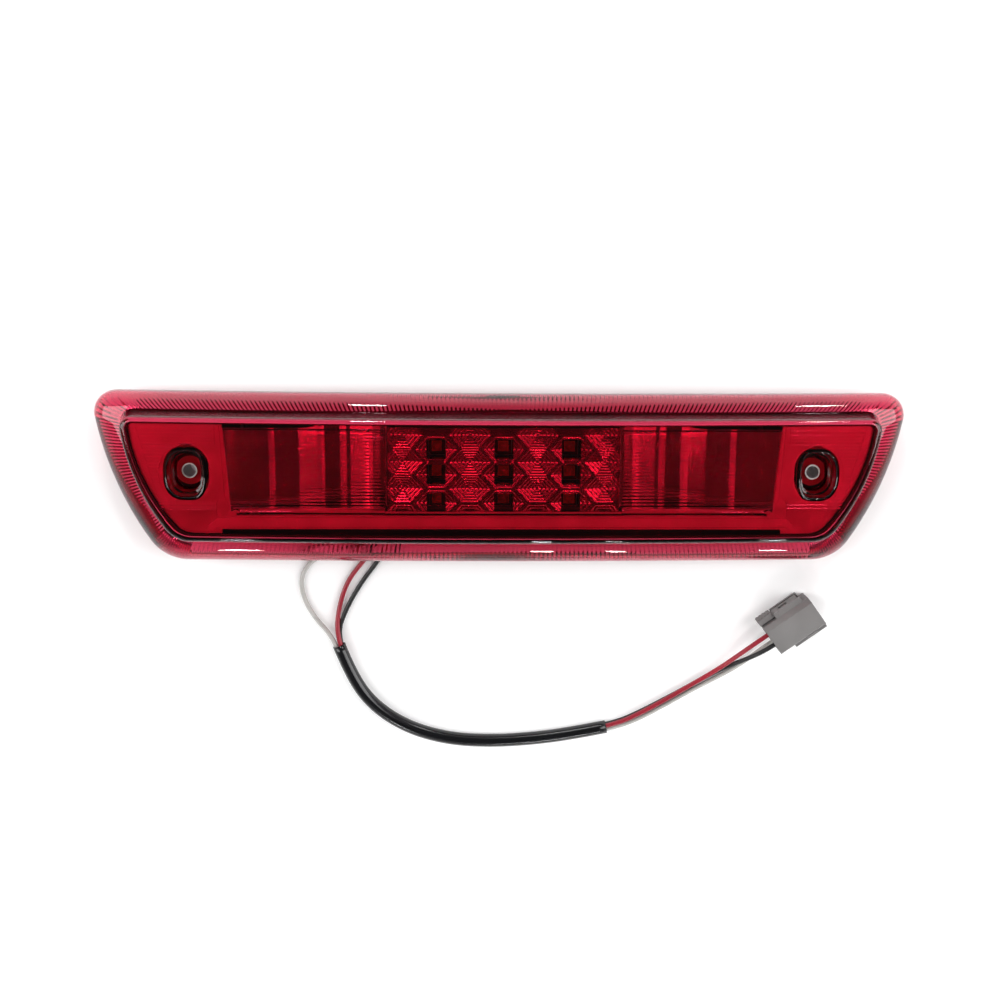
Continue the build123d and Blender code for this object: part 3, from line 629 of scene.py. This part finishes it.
# ---------------------------------------------------------------- lead
WIRE_D = 0.0022
TUBE_D = 0.0062
BUNDLE_R = 0.0013
MOUTH_GAP = 0.005
TUBE_ROUTE = [
    (-0.0769, -0.0830, 0.0031), (-0.0713, -0.0980, 0.0031), (-0.0613, -0.1128, 0.0031),
    (-0.0450, -0.1240, 0.0031), (-0.0255, -0.1300, 0.0031), (-0.0050, -0.1314, 0.0031),
    (0.0150, -0.1303, 0.0031), (0.0340, -0.1278, 0.0031), (0.0513, -0.1243, 0.0031),
]
WIRE_START = {
    "white": [(-0.0584, 0.0100, 0.0113), (-0.0584, 0.0025, 0.0103), (-0.0584, -0.0045, 0.0080),
              (-0.0584, -0.0115, 0.0050), (-0.0584, -0.0260, 0.0050),
              (-0.0630, -0.0330, 0.0034), (-0.0740, -0.0367, 0.0017),
              (-0.0876, -0.0402, 0.0012), (-0.0948, -0.0495, 0.0012),
              (-0.0936, -0.0605, 0.0012), (-0.0882, -0.0703, 0.0015)],
    "red": [(-0.0550, 0.0100, 0.0113), (-0.0550, 0.0025, 0.0103), (-0.0550, -0.0045, 0.0080),
            (-0.0550, -0.0115, 0.0050), (-0.0550, -0.0260, 0.0050),
            (-0.0586, -0.0344, 0.0028), (-0.0652, -0.0424, 0.0012),
            (-0.0726, -0.0518, 0.0012), (-0.0769, -0.0645, 0.0016)],
    "black": [(-0.0516, 0.0100, 0.0113), (-0.0516, 0.0025, 0.0103), (-0.0516, -0.0045, 0.0080),
              (-0.0516, -0.0115, 0.0050), (-0.0516, -0.0260, 0.0050),
              (-0.0532, -0.0344, 0.0028), (-0.0586, -0.0429, 0.0012),
              (-0.0660, -0.0525, 0.0012), (-0.0732, -0.0650, 0.0014)],
}
WIRE_END = {
    "white": [(0.0676, -0.1209, 0.0014), (0.0795, -0.1144, 0.0012), (0.0905, -0.1078, 0.0012),
              (0.1015, -0.1019, 0.0012), (0.1115, -0.0965, 0.0012), (0.1203, -0.0903, 0.0016),
              (0.1278, -0.0836, 0.0032), (0.1350, -0.0784, 0.0034)],
    "red": [(0.0670, -0.1177, 0.0039), (0.0795, -0.1108, 0.0036), (0.0920, -0.1032, 0.0036),
            (0.1045, -0.0952, 0.0044), (0.1135, -0.0876, 0.0066), (0.1218, -0.0805, 0.0084),
            (0.1315, -0.0735, 0.0086)],
    "black": [(0.0673, -0.1179, 0.0013), (0.0798, -0.1112, 0.0012), (0.0910, -0.1049, 0.0012),
              (0.1010, -0.0989, 0.0012), (0.1105, -0.0939, 0.0022), (0.1185, -0.0897, 0.0050),
              (0.1271, -0.0841, 0.0082), (0.1350, -0.0784, 0.0086)],
}
BUNDLE_ANGLE = {"white": 180.0, "red": 60.0, "black": 300.0}


def beside(route, index, angle):
    """A point of the tube's route, moved to where one of its wires lies."""
    here = Vector(route[index])
    ways = []
    if index:
        ways.append((here - Vector(route[index - 1])).normalized())
    if index + 1 < len(route):
        ways.append((Vector(route[index + 1]) - here).normalized())
    along = (ways[0] + ways[-1]).normalized()
    left = Vector((-along.y, along.x, 0))
    half_turn = ways[0].angle(ways[-1]) / 2
    side = BUNDLE_R * cos(radians(angle)) / cos(half_turn)
    return tuple(here + left * side + Vector((0, 0, BUNDLE_R * sin(radians(angle)))))


def wire_route(name):
    first, second = Vector(TUBE_ROUTE[0]), Vector(TUBE_ROUTE[1])
    last, before = Vector(TUBE_ROUTE[-1]), Vector(TUBE_ROUTE[-2])
    inner = [tuple(first + (first - second).normalized() * MOUTH_GAP)]
    inner += TUBE_ROUTE[1:-1]
    inner.append(tuple(last + (last - before).normalized() * MOUTH_GAP))
    angle = BUNDLE_ANGLE[name]
    return (WIRE_START[name] + [beside(inner, i, angle) for i in range(len(inner))]
            + WIRE_END[name])


def cord_curve(name, route, diameter, material):
    data = bpy.data.curves.new(name, "CURVE")
    data.dimensions = "3D"
    spline = data.splines.new("NURBS")
    spline.points.add(len(route) - 1)
    for point, place in zip(spline.points, route):
        point.co = (*place, 1)
        point.radius = diameter / 2
    spline.order_u = 3
    spline.use_endpoint_u = True
    data.resolution_u = 8
    data.bevel_depth = 1.0          # times each point's own radius
    data.bevel_resolution = 5
    data.materials.append(material)
    piece = bpy.data.objects.new(name, data)
    bpy.context.scene.collection.objects.link(piece)
    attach(piece, "lamp")
    return piece


def build_lead():
    looks = {"white": WIRE_WHITE, "red": WIRE_RED, "black": WIRE_BLACK}
    for name, look in looks.items():
        route = wire_route(name)
        wire = cord_curve(f"{name}_lead_wire", route, WIRE_D, look)
        wire.data.use_fill_caps = True
        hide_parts(f"{name}_wire")
    tube = cord_curve("lead_sleeving", TUBE_ROUTE, TUBE_D, SLEEVING)
    wall = tube.modifiers.new("wall", "SOLIDIFY")
    wall.thickness = 0.0006
    wall.offset = -1
    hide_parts("wire_sleeving")


# ---------------------------------------------------------------- stage, lights and camera
def build_floor():
    mesh = bpy.data.meshes.new("floor")
    half = 3.0
    mesh.from_pydata([(-half, -half, 0), (half, -half, 0), (half, half, 0), (-half, half, 0)],
                     [], [(0, 1, 2, 3)])
    floor = bpy.data.objects.new("floor", mesh)
    bpy.context.scene.collection.objects.link(floor)
    m = Nodes("glowing_pale_floor")
    m.link(m.ramp(m.noise(3.0), [(0.3, (0.90, 0.90, 0.90)), (0.7, (0.93, 0.93, 0.93))]),
           m.shader.inputs["Base Color"])
    m.set(Roughness=0.75, Emission_Color=(1, 1, 1, 1))
    # painted light: the floor glows a little all round, and not under the lamp, where its
    # rendered shade is kept
    glow_falloff = m.add("ShaderNodeTexGradient", Vector=m.place((1 / 0.30, 1 / 0.075, 0)))
    glow_falloff.gradient_type = "SPHERICAL"
    glow = m.ramp(glow_falloff.outputs["Fac"], [(0.0, (0.16, 0.16, 0.16)), (0.45, (0.0, 0.0, 0.0))])
    m.link(glow, m.shader.inputs["Emission Strength"])
    mesh.materials.append(m.material)


def area_light(name, place, target, size, power, mirrored=True):
    data = bpy.data.lights.new(name, "AREA")
    data.shape = "RECTANGLE"
    data.size, data.size_y = size
    data.energy = power
    light = bpy.data.objects.new(name, data)
    light.visible_glossy = mirrored
    bpy.context.scene.collection.objects.link(light)
    light.location = place
    way = Vector(target) - Vector(place)
    light.rotation_euler = way.to_track_quat("-Z", "Y").to_euler()


# X, Y and width of each small lamp
LAMPS = ((-0.296, -0.8, 0.042), (0.078, -0.8, 0.026), (0.170, -0.8, 0.020),
         (0.368, -0.8, 0.026), (-0.130, 0.8, 0.041), (0.405, 0.8, 0.045))


def build_lights():
    world = bpy.data.worlds.new("studio")
    bpy.context.scene.world = world
    world.use_nodes = True
    tree = world.node_tree
    back = tree.nodes["Background"]
    # a pale tent all round, dark overhead
    way = tree.nodes.new("ShaderNodeTexCoord").outputs["Generated"]
    height = tree.nodes.new("ShaderNodeSeparateXYZ")
    ramp = tree.nodes.new("ShaderNodeValToRGB")
    tree.links.new(way, height.inputs[0])
    tree.links.new(height.outputs["Z"], ramp.inputs["Fac"])
    tree.links.new(ramp.outputs["Color"], back.inputs["Color"])
    elements = ramp.color_ramp.elements
    for at, level in ((0.0, 0.95), (0.25, 0.75), (0.50, 0.16), (0.80, 0.05)):
        element = elements.new(at) if at else elements[0]
        element.position = at
        element.color = (level, level, level, 1)
    elements[-1].color = (0.04, 0.04, 0.04, 1)
    back.inputs["Strength"].default_value = 1.0
    area_light("left_softbox", (-1.15, 0.15, 0.95), (0, 0, 0), (0.7, 1.4), 15)
    area_light("right_softbox", (1.15, 0.15, 0.95), (0, 0, 0), (0.7, 1.4), 15)
    area_light("top_softbox", (0.0, 1.35, 0.9), (0, 0, 0), (1.6, 0.5), 8, mirrored=False)
    area_light("low_softbox", (0.0, -1.45, 0.45), (0, -0.05, 0), (1.6, 0.3), 6,
               mirrored=False)
    # small lamps that leave the highlights along the window's long edges
    for index, (x, y, width) in enumerate(LAMPS):
        area_light(f"lamp_{index}", (x, y, 0.5), (0, 0, 0.03), (width, 0.10), 24 * width)



def build_camera():
    distance = 0.540
    tilt, turn, roll = radians(9.5), radians(1.8), radians(0.45)
    target = Vector((0.0, 0.0008, 0.011))
    way = Vector((-sin(turn), cos(turn) * sin(tilt), cos(turn) * cos(tilt)))
    data = bpy.data.cameras.new("camera")
    data.sensor_width = 36
    data.lens = 42.3
    data.shift_x = -0.0025
    data.shift_y = -0.0255
    camera = bpy.data.objects.new("camera", data)
    bpy.context.scene.collection.objects.link(camera)
    camera.location = target + way * distance
    right = (-way).cross(Vector((0, 1, 0))).normalized()
    up = right.cross(-way)
    level_right = right * cos(roll) + up * sin(roll)
    level_up = up * cos(roll) - right * sin(roll)
    camera.rotation_euler = Matrix((level_right, level_up, way)).transposed().to_euler()
    bpy.context.scene.camera = camera


def main():
    bpy.context.scene.view_settings.view_transform = "Standard"
    build_camera()
    build_lead()
    build_floor()
    build_lights()
    dress_cad_nodes()
    build_lens()
    build_led_reflector()
    build_side_reflector(-1, "stepped_reflector_left", "side_reflector_left")
    build_side_reflector(1, "stepped_reflector_right", "side_reflector_right")


main()
bpy.context.view_layer.update()
